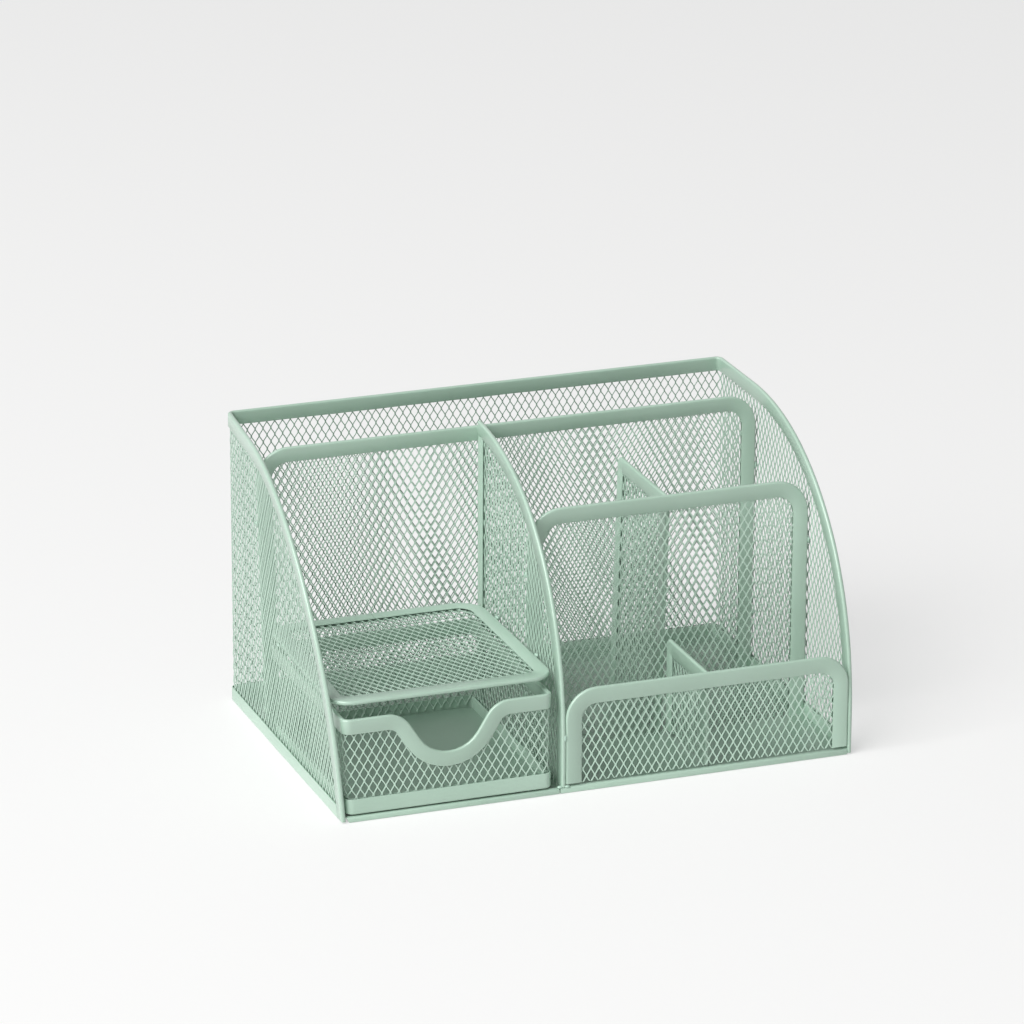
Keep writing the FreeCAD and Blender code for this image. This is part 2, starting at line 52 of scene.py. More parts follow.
def make_coat_group():
    """Shader group: the coat's colour, roughness and orange peel over the surface."""
    group = bpy.data.node_groups.new("powder coat", "ShaderNodeTree")
    sockets = group.interface
    for name, kind in (("Thick Colour", "Color"), ("Thin Colour", "Color"), ("Patch Scale", "Float"),
                       ("Roughness", "Float"), ("Peel Scale", "Float"), ("Peel Height", "Float")):
        sockets.new_socket(name, in_out="INPUT", socket_type="NodeSocket" + kind)
    for name, kind in (("Colour", "Color"), ("Roughness", "Float"), ("Normal", "Vector")):
        sockets.new_socket(name, in_out="OUTPUT", socket_type="NodeSocket" + kind)
    nodes, links = group.nodes, group.links
    given = nodes.new("NodeGroupInput")
    result = nodes.new("NodeGroupOutput")
    place = nodes.new("ShaderNodeTexCoord")

    patches = nodes.new("ShaderNodeTexNoise")
    patches.inputs["Detail"].default_value = 3.0
    links.new(place.outputs["Object"], patches.inputs["Vector"])
    links.new(given.outputs["Patch Scale"], patches.inputs["Scale"])
    spread = nodes.new("ShaderNodeMapRange")
    spread.inputs["From Min"].default_value = 0.35
    spread.inputs["From Max"].default_value = 0.65
    links.new(patches.outputs["Fac"], spread.inputs["Value"])
    blend = nodes.new("ShaderNodeMix")
    blend.data_type = "RGBA"
    links.new(spread.outputs["Result"], blend.inputs["Factor"])
    links.new(given.outputs["Thin Colour"], blend.inputs["A"])
    links.new(given.outputs["Thick Colour"], blend.inputs["B"])
    links.new(blend.outputs["Result"], result.inputs["Colour"])

    peel = nodes.new("ShaderNodeTexNoise")
    peel.inputs["Detail"].default_value = 2.0
    links.new(place.outputs["Object"], peel.inputs["Vector"])
    links.new(given.outputs["Peel Scale"], peel.inputs["Scale"])
    dimples = nodes.new("ShaderNodeBump")
    dimples.inputs["Strength"].default_value = 0.6
    links.new(given.outputs["Peel Height"], dimples.inputs["Distance"])
    links.new(peel.outputs["Fac"], dimples.inputs["Height"])
    links.new(dimples.outputs["Normal"], result.inputs["Normal"])

    sheen = nodes.new("ShaderNodeMath")
    sheen.operation = "MULTIPLY_ADD"
    sheen.inputs[1].default_value = 0.12
    links.new(peel.outputs["Fac"], sheen.inputs[0])
    links.new(given.outputs["Roughness"], sheen.inputs[2])
    links.new(sheen.outputs["Value"], result.inputs["Roughness"])
    return group


coat_group = make_coat_group()


def powder_coat(name, thick, thin, patch_scale, roughness, peel_scale, peel_height):
    """Material of one kind of part, all in the same coat."""
    material = bpy.data.materials.new(name)
    material.use_nodes = True
    nodes, links = material.node_tree.nodes, material.node_tree.links
    shader = nodes["Principled BSDF"]
    shader.inputs["IOR"].default_value = 1.5
    shader.inputs["Coat Weight"].default_value = 0.7
    shader.inputs["Coat Roughness"].default_value = 0.3
    coat = nodes.new("ShaderNodeGroup")
    coat.node_tree = coat_group
    coat.inputs["Thick Colour"].default_value = paint(*thick)
    coat.inputs["Thin Colour"].default_value = paint(*thin)
    coat.inputs["Patch Scale"].default_value = patch_scale
    coat.inputs["Roughness"].default_value = roughness
    coat.inputs["Peel Scale"].default_value = peel_scale
    coat.inputs["Peel Height"].default_value = peel_height
    links.new(coat.outputs["Colour"], shader.inputs["Base Color"])
    links.new(coat.outputs["Roughness"], shader.inputs["Roughness"])
    links.new(coat.outputs["Normal"], shader.inputs["Normal"])
    return material


# TOP RIM OF THE WALLS
# One strip of thin steel, folded over the cut edge of the wall mesh. It climbs the curved
# front edge of the left wall, runs round the back and comes down the right wall.

WIDTH, DEPTH, HEIGHT = 220.0, 146.0, 127.0
WALL_STRIP = 6.0
STRIP_HALF = 0.9                         # half of the fold, over both leaves
LEAF = 0.42
FOLD = 1.0                               # outer edge to the mesh's cut edge
FOLD_NOSE, NOSE_STEPS = 0.75, 8          # how far the rounded edge stands out, per half thickness
EASED_ACROSS, EASED_THROUGH = 0.15, 0.12  # broken corner of a leaf's free edge
WAVE, WAVE_LENGTH = 0.06, 19.0           # of the strip, in and out
RIPPLE, RIPPLE_LENGTH, RIPPLE_START = 0.1, 11.0, 7   # of its free edge

FRONT_EDGE_Y = -DEPTH / 2
SIDE_X, BACK_Y = WIDTH / 2 - STRIP_HALF, DEPTH / 2 - STRIP_HALF   # middle of the walls' sheet
WALL_BEND, BEND_STEPS = 2.4, 10
SPLAY = 0.095                            # lean of the left wall's front, per mm of height
CURVE_START_Y, CURVE_END_Z, CURVE_POWER, CURVE_STEPS = 35.8, 18.0, 2.1, 44
RIM_FOOT = 0.7
SMOOTH_BELOW = 40.0                      # degrees between faces

coated_strip = powder_coat("coated strip", thick=(171, 199, 181), thin=(177, 204, 187), patch_scale=24.0,
                           roughness=0.3, peel_scale=1500.0, peel_height=0.00003)


def strip_section(width):
    """Section of the folded strip: x along it, y from its outer edge inwards, z through it."""
    half = STRIP_HALF
    inner = half - LEAF
    points = [(width, half - EASED_THROUGH), (width - EASED_ACROSS, half), (FOLD, half)]
    for step in range(NOSE_STEPS + 1):
        angle = math.pi / 2 - math.pi * step / NOSE_STEPS
        points.append((half * FOLD_NOSE * (1 - math.cos(angle)), half * math.sin(angle)))
    points += [(FOLD, -half), (width - EASED_ACROSS, -half), (width, EASED_THROUGH - half)]
    points += [(width, -inner), (FOLD, -inner), (FOLD, inner), (width, inner)]
    return [Vector((0, depth, through)) for depth, through in points]


def rounded_path(corners, width, step=5.0, stops=()):
    """Pairs of (outer, inner) points along an edge; width is to the right of the way it runs."""
    points = [Vector(corner[:2]) for corner in corners]
    pairs = []

    def straight(start, end, side):
        run = end - start
        count = max(1, math.ceil(run.length / step))
        shares = {round(index / count, 6) for index in range(count + 1)}
        if abs(run.x) > 1e-6:
            shares |= {(stop - start.x) / run.x for stop in stops}
        for share in sorted(value for value in shares if 0 <= value <= 1):
            outer = start + run * share
            pairs.append((outer, outer + side))

    last = points[0]
    for index in range(1, len(points)):
        corner = points[index]
        ahead = (corner - points[index - 1]).normalized()
        side = Vector((ahead.y, -ahead.x)) * width
        radius = corners[index][2] if index < len(points) - 1 else 0
        if radius == 0:
            straight(last, corner, side)
            last = corner
            continue
        onward = (points[index + 1] - corner).normalized()
        bend = ahead.angle_signed(onward)            # positive where the path turns right
        run = radius * math.tan(abs(bend) / 2)
        onward_side = Vector((onward.y, -onward.x)) * width
        if bend > 0 and radius < width:
            mitre = corner + (side + onward_side) / (1 + math.cos(bend))
            reach = width * math.tan(bend / 2)
            straight(last, corner - ahead * reach, side)
            pairs.append((corner - ahead * (reach + run) / 2, mitre))
        else:
            straight(last, corner - ahead * run, side)
        centre = corner - ahead * run + side.normalized() * math.copysign(radius, bend)
        start = corner - ahead * run - centre
        for turned in range(BEND_STEPS + 1):
            angle = -bend * turned / BEND_STEPS
            spoke = Matrix.Rotation(angle, 2) @ start
            outer = centre + spoke
            if bend > 0 and radius < width:
                pairs.append((outer, mitre))
            else:
                pairs.append((outer, outer - spoke.normalized() * math.copysign(width, bend)))
        last = corner + onward * run
        if bend > 0 and radius < width:
            pairs.append((corner + onward * (reach + run) / 2, mitre))
            last = corner + onward * reach
    kept = pairs[:1]
    for pair in pairs[1:]:
        if (pair[0] - kept[-1][0]).length > 1e-4:
            kept.append(pair)
    return kept


def curved_path(top, width, bottom, back, power=CURVE_POWER):
    """Pairs for the curved edge of a side wall or divider, from its foot to its back, as (y, z)."""
    reach = CURVE_START_Y - FRONT_EDGE_Y
    rise = top - CURVE_END_Z
    inwards = Vector((width, 0))
    pairs = []
    for share in (0, 0.25, 0.5, 0.75):
        foot = Vector((FRONT_EDGE_Y, bottom + (CURVE_END_Z - bottom) * share))
        pairs.append((foot, foot + inwards))
    for step in range(CURVE_STEPS, -1, -1):
        angle = math.pi / 2 * step / CURVE_STEPS
        forward = math.sin(angle) ** (2 / power)
        up = max(math.cos(angle), 0) ** (2 / power)
        inward = Vector((forward ** (power - 1) / reach, -up ** (power - 1) / rise))
        edge = Vector((CURVE_START_Y - reach * forward, CURVE_END_Z + rise * up))
        pairs.append((edge, edge + inward.normalized() * width))
    for share in (0.25, 0.5, 0.75, 1):
        edge = Vector((CURVE_START_Y + (back - CURVE_START_Y) * share, top))
        pairs.append((edge, edge - Vector((0, width))))
    return pairs


def plan_walk(corners):
    """Length of a rounded plan path, its bends, and the place and outward way at any length."""
    pairs = rounded_path(corners, 1.0, step=400.0)
    ways = [Vector((-(inner - outer).x, -(inner - outer).y)) for outer, inner in pairs]
    marks = [0.0]
    for (here, _), (following, _) in zip(pairs, pairs[1:]):
        marks.append(marks[-1] + (following - here).length)

    def at(length):
        index = max(i for i, mark in enumerate(marks[:-1]) if mark <= max(length, 0.0))
        share = (length - marks[index]) / (marks[index + 1] - marks[index])
        place = pairs[index][0].lerp(pairs[index + 1][0], share)
        way = ways[index].lerp(ways[index + 1], min(max(share, 0), 1)).normalized()
        return place, way

    return marks[-1], marks, at


wall_length, wall_marks, wall_at = plan_walk([(-SIDE_X, FRONT_EDGE_Y, 0), (-SIDE_X, BACK_Y, WALL_BEND),
                                              (SIDE_X, BACK_Y, WALL_BEND), (SIDE_X, FRONT_EDGE_Y, 0)])
straight_side = BACK_Y - WALL_BEND - FRONT_EDGE_Y


def on_wall(along, height, out):
    """Point of the walls' sheet: along it from the left front, up it, and out from it."""
    place, way = wall_at(along)
    x, y = place + way * out
    lean = SPLAY * height * (DEPTH / 2 - y) / DEPTH * min(max(-x / SIDE_X, 0), 1)
    return Vector((x - lean, y, height))


def stations(pairs, width, lay):
    """Places that a strip's section is carried to along an edge. Folding leaves it slightly wavy."""
    places = []
    for outer, inner in pairs:
        sway = WAVE * noise.noise(Vector((outer.x / WAVE_LENGTH, outer.y / WAVE_LENGTH, width)))
        ripple_at = Vector((outer.x / RIPPLE_LENGTH, outer.y / RIPPLE_LENGTH, RIPPLE_START))
        edge_sway = 1 + RIPPLE / width * noise.noise(ripple_at)
        origin = lay(outer.x, outer.y, sway)
        through = (lay(outer.x, outer.y, sway + 1) - origin).normalized()
        inwards = (lay(inner.x, inner.y, sway) - origin) * edge_sway / width
        along = inwards.cross(through).normalized()
        place = Matrix((along, inwards, through)).transposed().to_4x4()
        place.translation = origin
        places.append(place)
    return places


def sweep(bm, section, places):
    """Carry a section from place to place and close both ends."""
    ring = [bm.verts.new(places[0] @ point) for point in section]
    bm.faces.new(ring)
    edges = [bm.edges.get(pair) for pair in zip(ring, ring[1:] + ring[:1])]
    for here, following in zip(places, places[1:]):
        grown = bmesh.ops.extrude_edge_only(bm, edges=edges)["geom"]
        ring = [part for part in grown if isinstance(part, bmesh.types.BMVert)]
        edges = [part for part in grown if isinstance(part, bmesh.types.BMEdge) and part.is_boundary]
        bmesh.ops.transform(bm, matrix=following @ here.inverted(), verts=ring)
    bmesh.ops.edgeloop_fill(bm, edges=edges)


def folded_strip(pairs, width, lay):
    """Mesh of one folded strip along an edge."""
    bm = bmesh.new()
    sweep(bm, strip_section(width), stations(pairs, width, lay))
    bmesh.ops.remove_doubles(bm, verts=bm.verts, dist=0.002)
    return bm


def set_out(bm, name, material):
    """Finished piece from a bmesh in millimetres, in place, with its normals out."""
    bmesh.ops.scale(bm, vec=(0.001, 0.001, 0.001), verts=bm.verts)
    bmesh.ops.recalc_face_normals(bm, faces=bm.faces)
    mesh = bpy.data.meshes.new(name)
    bm.to_mesh(mesh)
    bm.free()
    mesh.shade_smooth()
    mesh.set_sharp_from_angle(angle=math.radians(SMOOTH_BELOW))
    mesh.materials.append(material)
    piece = bpy.data.objects.new(name, mesh)
    bpy.context.scene.collection.objects.link(piece)
    return piece


def wall_edge_path(width):
    """Pairs along the whole top edge of the walls, in their unrolled sheet."""
    left = [(Vector((outer.x - FRONT_EDGE_Y, outer.y)), Vector((inner.x - FRONT_EDGE_Y, inner.y)))
            for outer, inner in curved_path(HEIGHT, width, RIM_FOOT, BACK_Y - WALL_BEND)]
    right = [(Vector((wall_length - outer.x, outer.y)), Vector((wall_length - inner.x, inner.y)))
             for outer, inner in reversed(left)]
    middle = rounded_path([(left[-1][0].x, HEIGHT, 0), (right[0][0].x, HEIGHT, 0)], width, stops=wall_marks)
    return left + middle[1:-1] + right


top_rim = folded_strip(wall_edge_path(WALL_STRIP), WALL_STRIP, on_wall)
top_rim = set_out(top_rim, "top_rim_strip", coated_strip)
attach(top_rim, "stand")
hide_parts("left_wall_rim", "back_wall_rim", "right_wall_rim")


# BASE STRIP OF THE WALLS
# The same folded strip along the foot of the walls. It starts behind the front edge strip
# on each side, and the organiser stands on it.

base_ends = [(wall_length - WALL_STRIP, 0, 0), (WALL_STRIP, 0, 0)]
base_path = rounded_path(base_ends, WALL_STRIP, stops=wall_marks)
base_strip = set_out(folded_strip(base_path, WALL_STRIP, on_wall), "base_strip", coated_strip)
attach(base_strip, "stand")
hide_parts("left_base_strip", "back_base_strip", "right_base_strip")


# WALL MESH
# Sides and back are one sheet of expanded steel: slit, pulled open into diamonds, and bent
# round the two back corners. Its strands are twisted, so each one tilts to the sheet.

MESH_PITCH = (3.5, 6.05)                 # diamond, across and along
BOND_HALF_WIDTH, BOND_HALF_LENGTH, BOND_SHOULDER = 0.36, 0.62, 0.38
STRAND_TILT, STRAND_THICK = 0.2, 0.32
WALL_STRAND_TILT, SLIM_STRAND = 0.17, 0.14
HIDDEN = 2.7                             # from a strip's outer edge to the mesh's cut edge

coated_mesh = powder_coat("coated mesh", thick=(163, 189, 173), thin=(176, 201, 185), patch_scale=30.0,
                          roughness=0.34, peel_scale=1800.0, peel_height=0.00002)


def one_diamond(bm, across, along, hand, tilt):
    """Two bonds and the four strands that leave them to the right, or to the left for hand -1."""
    side, end, shoulder = hand * BOND_HALF_WIDTH, BOND_HALF_LENGTH, BOND_SHOULDER
    over, up = hand * across / 2, along / 2
    bond = ((0, end, 0), (side, shoulder, tilt), (side, -shoulder, tilt),
            (0, -end, 0), (-side, -shoulder, -tilt), (-side, shoulder, -tilt))
    rising = ((side, shoulder, tilt), (0, end, 0),
              (over - side, up - shoulder, -tilt), (over, up - end, 0))
    falling = ((0, -end, 0), (side, -shoulder, tilt),
               (over, end - up, 0), (over - side, shoulder - up, -tilt))
    for shift in (Vector((0, 0, 0)), Vector((over, up, 0))):
        for corners in (bond, rising, falling):
            bm.faces.new([bm.verts.new(shift + Vector(corner)) for corner in corners])


def inside(outline, u, v):
    """Whether a point is inside a closed outline."""
    crossed = False
    for (u0, v0), (u1, v1) in zip(outline, outline[1:] + outline[:1]):
        if (v0 > v) != (v1 > v) and u < u0 + (u1 - u0) * (v - v0) / (v1 - v0):
            crossed = not crossed
    return crossed


def expanded_sheet(outline, lay, pitch=MESH_PITCH, turns=(0, 0), hand=1, cut=None, pull=None,
                   tilt=STRAND_TILT, thick=STRAND_THICK):
    """Mesh sheet inside an outline, with its rows and columns each turned a little from square.

    cut gives the sheet a straight foot at that height, and pull stretches the mesh before trimming.
    """
    across, along = pitch
    row_turn, column_turn = (math.radians(turn) for turn in turns)
    us = [point[0] for point in outline]
    vs = [point[1] for point in outline]
    middle = Vector(((min(us) + max(us)) / 2, (min(vs) + max(vs)) / 2, 0))
    spread = Vector((max(us) - min(us), max(vs) - min(vs), 0))
    skew = abs(math.sin(row_turn)) + abs(math.sin(column_turn))
    needed = (spread.x + spread.y * skew + 2 * across, spread.y + spread.x * skew + 2 * along)
    bm = bmesh.new()
    one_diamond(bm, across, along, hand, tilt)
    for axis, size, reach in ((0, across, needed[0]), (1, along, needed[1])):
        rows = 1
        while rows * size < reach:
            step = Vector((0, 0, 0))
            step[axis] = rows * size
            copied = bmesh.ops.duplicate(bm, geom=bm.verts[:] + bm.edges[:] + bm.faces[:])["geom"]
            fresh = [part for part in copied if isinstance(part, bmesh.types.BMVert)]
            bmesh.ops.translate(bm, vec=step, verts=fresh)
            rows *= 2
    low = Vector((min(v.co.x for v in bm.verts), min(v.co.y for v in bm.verts), 0))
    corner = Vector((-needed[0] / 2, -needed[1] / 2, 0))
    bmesh.ops.translate(bm, vec=corner - low, verts=bm.verts)
    turned = Matrix(((math.cos(row_turn), -math.sin(column_turn), 0, middle.x),
                     (math.sin(row_turn), math.cos(column_turn), 0, middle.y),
                     (0, 0, 1, 0), (0, 0, 0, 1)))
    bmesh.ops.transform(bm, matrix=turned, verts=bm.verts)
    if pull:
        for vertex in bm.verts:
            vertex.co.xy = pull(*vertex.co.xy)
    spare = [face for face in bm.faces if not inside(outline, *face.calc_center_median().xy)]
    bmesh.ops.delete(bm, geom=spare, context="FACES")
    if cut is not None:
        bmesh.ops.bisect_plane(bm, geom=bm.verts[:] + bm.edges[:] + bm.faces[:], plane_co=(0, cut, 0),
                               plane_no=(0, -1, 0), clear_outer=True)
    bmesh.ops.remove_doubles(bm, verts=bm.verts, dist=0.01)
    bmesh.ops.recalc_face_normals(bm, faces=bm.faces)
    bmesh.ops.translate(bm, vec=(0, 0, thick / 2), verts=bm.verts)
    bmesh.ops.solidify(bm, geom=bm.faces[:], thickness=thick)
    for vertex in bm.verts:
        vertex.co = lay(*vertex.co)
    return bm


def outline_of(pairs):
    """Closed outline through the inner points of a path."""
    return [tuple(inner) for _, inner in pairs]


SIDE_STRETCH, BACK_STRETCH = 1.034, 0.971   # how far the mesh is pulled open, along the rows
LEFT_LEAN = 0.1                          # of the columns at the front edge of the left wall
RIGHT_RISE = 0.025                       # of the rows towards the front edge of the right wall


def pull_wall(along, height):
    """Where a point of the even mesh ends up once the sheet is bent and welded to its strips."""
    half_back = wall_length / 2 - straight_side
    from_middle = along - wall_length / 2
    on_back = min(max(from_middle, -half_back / BACK_STRETCH), half_back / BACK_STRETCH)
    on_side = from_middle - on_back
    place = wall_length / 2 + on_back * BACK_STRETCH + on_side * SIDE_STRETCH
    if on_side < 0:
        return place + LEFT_LEAN * height * on_side / straight_side, height
    return place, height + RIGHT_RISE * on_side


wall_outline = [(along, max(height, HIDDEN)) for along, height in outline_of(wall_edge_path(HIDDEN))]
wall_mesh = expanded_sheet(wall_outline, on_wall, turns=(-0.1, 0.5), pull=pull_wall,
                           tilt=WALL_STRAND_TILT, thick=SLIM_STRAND)
wall_mesh = set_out(wall_mesh, "wall_expanded_mesh", coated_mesh)
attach(wall_mesh, "stand")
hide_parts("left_wall_mesh", "back_wall_mesh", "right_wall_mesh")


# FLOOR AND SILL
# A plain steel floor plate, welded inside the base strip. A low sill with a rounded front
# closes its front edge, in two lengths that meet at the centre divider. The left one is a
# little lower, and its outer end is snipped off at the foot.

SILL_DEPTH, SILL_HEIGHT = 2.2, 2.8
SILL_DROP, SILL_SNIP = 0.4, 1.3          # of the left length
WALL_INNER_X = WIDTH / 2 - 2 * STRIP_HALF
SILL_JOINT_X = (-17.6, -17.2)
SILL_NOSE, SILL_FOOT_ROUND, SILL_BACK_ROUND, SILL_END_ROUND = 1.2, 0.6, 0.5, 0.25
AT_END = 0.5                             # how far in from its end the sill takes part in the snip

# Same coat as the strips and mesh, but set darker: painted shade, for the shade the floors lie in under the
# mesh
painted_shade_plate_coat = powder_coat("plate coat with painted shade", thick=(130, 156, 140), thin=(138, 164, 147), patch_scale=18.0,
                           roughness=0.4, peel_scale=1200.0, peel_height=0.00004)

floor_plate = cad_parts["floor_plate"]
floor_plate.data.materials.clear()
floor_plate.data.materials.append(painted_shade_plate_coat)


def rolled_sill(x_low, x_high, height, snipped, name, node):
    """One length of the sill, rounded along its front, with its left end cut back at the foot."""
    bm = bmesh.new()
    front, back = FRONT_EDGE_Y, FRONT_EDGE_Y + SILL_DEPTH
    outline = ((front, 0.0), (back, 0.0), (back, height), (front, height))
    end = bm.faces.new([bm.verts.new((x_low, y, z)) for y, z in outline])
    grown = bmesh.ops.extrude_face_region(bm, geom=[end])["geom"]
    moved = [part for part in grown if isinstance(part, bmesh.types.BMVert)]
    bmesh.ops.translate(bm, vec=(x_high - x_low, 0, 0), verts=moved)
    bmesh.ops.recalc_face_normals(bm, faces=bm.faces)
    for y, z, size in ((front, height, SILL_NOSE), (front, 0.0, SILL_FOOT_ROUND),
                       (back, height, SILL_BACK_ROUND)):
        along = [edge for edge in bm.edges
                 if all(abs(v.co.y - y) + abs(v.co.z - z) < 1e-4 for v in edge.verts)]
        bmesh.ops.bevel(bm, geom=along, offset=size, affect="EDGES", segments=5, profile=0.5, material=-1)
    ends = [edge for edge in bm.edges if abs(edge.verts[0].co.x - edge.verts[1].co.x) < 1e-4]
    bmesh.ops.bevel(bm, geom=ends, offset=SILL_END_ROUND, affect="EDGES", segments=2, profile=0.5,
                    material=-1)
    for vertex in bm.verts:
        if vertex.co.x < x_low + AT_END:
            vertex.co.x += snipped * (1 - vertex.co.z / height)
    sill = set_out(bm, name, coated_strip)
    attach(sill, "stand")
    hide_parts(node)


rolled_sill(-WALL_INNER_X, SILL_JOINT_X[0], SILL_HEIGHT - SILL_DROP, SILL_SNIP,
            "rolled_sill_left", "front_sill_left")
rolled_sill(SILL_JOINT_X[1], WALL_INNER_X, SILL_HEIGHT, 0.0, "rolled_sill_right", "front_sill_right")


# UPRIGHT PANELS
# Three flat sheets of the same mesh stand across the organiser, each with a folded strip up
# its sides and over its top. They are spot-welded to the walls and to the centre divider.

FLOOR_TOP = 1.0
BELOW = 5.0                              # how far a sheet runs on below its foot before it is cut off
REAR_Y, MIDDLE_Y, FRONT_Y = 30.0, -27.0, -72.0
CENTRE_X = -15.9                         # middle of the centre divider's sheet
DIVIDER_FACE_X = CENTRE_X + STRIP_HALF
PANELS = {
    # name: plane y, left at foot, left at top, foot, top, strip width, corner radius
    "rear_panel": (REAR_Y, -108.3, -111.66, FLOOR_TOP, 123.7, 6.3, 13.5),
    "middle_panel": (MIDDLE_Y, DIVIDER_FACE_X, DIVIDER_FACE_X, FLOOR_TOP, 105.0, 6.7, 14.5),
    "front_panel": (FRONT_Y, DIVIDER_FACE_X, DIVIDER_FACE_X, 3.9, 44.1, 6.7, 13.0),
}
PANEL_MESH = {
    # name: pitch, turns of the rows and columns, foot of the mesh, tilt of the strands
    "rear_panel": ((3.48, 6.0), (-0.7, 0.0), FLOOR_TOP, STRAND_TILT),
    "middle_panel": (MESH_PITCH, (-0.8, -0.6), FLOOR_TOP, STRAND_TILT),
    "front_panel": ((3.53, 6.19), (0.0, -1.5), 3.85, 0.3),
}


def run_below(outline, foot):
    """The outline with its ends taken on below the foot, where the sheet is cut off straight."""
    return [(along, height if height > foot + 1 else foot - BELOW) for along, height in outline]


for name, (plane, left_low, left_top, foot, top, width, radius) in PANELS.items():
    def on_panel(across, height, out):
        return Vector((across, plane - out, height))

    edge = [(left_low, foot, 0), (left_top, top, radius),
            (WALL_INNER_X, top, radius), (WALL_INNER_X, foot, 0)]
    strip = folded_strip(rounded_path(edge, width), width, on_panel)
    strip = set_out(strip, name + "_strip", coated_strip)
    pitch, turns, cut, tilt = PANEL_MESH[name]
    outline = run_below(outline_of(rounded_path(edge, HIDDEN)), foot)
    sheet = expanded_sheet(outline, on_panel, pitch=pitch, turns=turns, cut=cut, tilt=tilt)
    sheet = set_out(sheet, name + "_expanded_mesh", coated_mesh)
    for piece, kind in ((strip, "_rim"), (sheet, "_mesh")):
        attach(piece, "stand")
        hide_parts(name + kind)


# CENTRE DIVIDER
# A sheet cut to the same curve as the side walls, from the rear panel to the sill. One strip
# follows the curve and a second one closes its upright back edge.

DIVIDER_TOP = 126.0
DIVIDER_BACK_Y = REAR_Y - STRIP_HALF
DIVIDER_FOOT = 2.8
DIVIDER_VEER = 0.009                     # to the right, per mm of depth
DIVIDER_POWER = 2.18                     # its curve is a little fuller than the walls'
DIVIDER_STRAND_TILT = 0.26
STRIP_GAP = 0.1                          # between its two strips


def on_divider(depth, height, out):
    return Vector((CENTRE_X - out + DIVIDER_VEER * (depth - FRONT_EDGE_Y), depth, height))


divider_edge = curved_path(DIVIDER_TOP, WALL_STRIP, DIVIDER_FOOT, DIVIDER_BACK_Y, DIVIDER_POWER)
after = next(index for index, pair in enumerate(divider_edge) if pair[0].x > DIVIDER_BACK_Y)
(before_outer, before_inner), (after_outer, after_inner) = divider_edge[after - 1:after + 1]
share = (DIVIDER_BACK_Y - before_outer.x) / (after_outer.x - before_outer.x)
divider_edge = divider_edge[:after] + [(before_outer.lerp(after_outer, share),
                                        before_inner.lerp(after_inner, share))]
divider_strip = folded_strip(divider_edge, WALL_STRIP, on_divider)
divider_strip = set_out(divider_strip, "divider_curved_strip", coated_strip)
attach(divider_strip, "stand")
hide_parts("centre_divider_rim")

back_top = divider_edge[-1][1].y - STRIP_GAP
back_edge = rounded_path([(DIVIDER_BACK_Y, back_top, 0), (DIVIDER_BACK_Y, FLOOR_TOP, 0)], WALL_STRIP)
back_strip = set_out(folded_strip(back_edge, WALL_STRIP, on_divider), "divider_back_strip", coated_strip)
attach(back_strip, "stand")
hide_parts("centre_divider_back_strip")

divider_end = DIVIDER_BACK_Y - HIDDEN
divider_outline = curved_path(DIVIDER_TOP, HIDDEN, FLOOR_TOP - BELOW, divider_end, DIVIDER_POWER)
divider_outline = outline_of(pair for pair in divider_outline if pair[1].x < divider_end)
divider_outline += [(divider_end, DIVIDER_TOP - HIDDEN), (divider_end, FLOOR_TOP - BELOW)]
divider_mesh = expanded_sheet(divider_outline, on_divider, pitch=(3.73, 6.2), turns=(0.2, 2.7),
                              cut=FLOOR_TOP, tilt=DIVIDER_STRAND_TILT, thick=SLIM_STRAND)
divider_mesh = set_out(divider_mesh, "divider_expanded_mesh", coated_mesh)
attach(divider_mesh, "stand")
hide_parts("centre_divider_mesh")


# PEN AND CLIP DIVIDERS
# Two small sheets between the panels, with a strip mitred round their square top corners.
# The pen divider is pushed a little out of upright.

DIVIDERS = {
    # name: plane x, front y, back y, foot, top, strip width, lean in degrees
    "pen_divider": (44.0, MIDDLE_Y + STRIP_HALF, REAR_Y - STRIP_HALF, 1.1, 103.7, 6.0, 1.6),
    "clip_divider": (46.8, FRONT_Y + STRIP_HALF, MIDDLE_Y - STRIP_HALF, 3.2, 43.2, 6.3, 0.0),
}
DIVIDER_CORNER = 3.0

for name, (plane, front, back, foot, top, width, lean) in DIVIDERS.items():
    def on_small_divider(depth, height, out):
        sine, cosine = math.sin(math.radians(lean)), math.cos(math.radians(lean))
        rise = height - foot
        return Vector((plane - out * cosine + rise * sine, depth, foot + rise * cosine + out * sine))

    edge = [(front, foot, 0), (front, top, DIVIDER_CORNER), (back, top, DIVIDER_CORNER), (back, foot, 0)]
    strip = folded_strip(rounded_path(edge, width), width, on_small_divider)
    strip = set_out(strip, name + "_strip", coated_strip)
    outline = run_below(outline_of(rounded_path(edge, HIDDEN)), foot)
    sheet = expanded_sheet(outline, on_small_divider, turns=(0.7, 0.7), cut=foot)
    sheet = set_out(sheet, name + "_expanded_mesh", coated_mesh)
    for piece, kind in ((strip, "_rim"), (sheet, "_mesh")):
        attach(piece, "stand")
        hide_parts(name + kind)


# SHELF
# A mesh tray top over the drawer, with one strip folded round all four edges and butted at
# the back. Its left edge follows the leaning wall, and it is welded to the wall and divider.

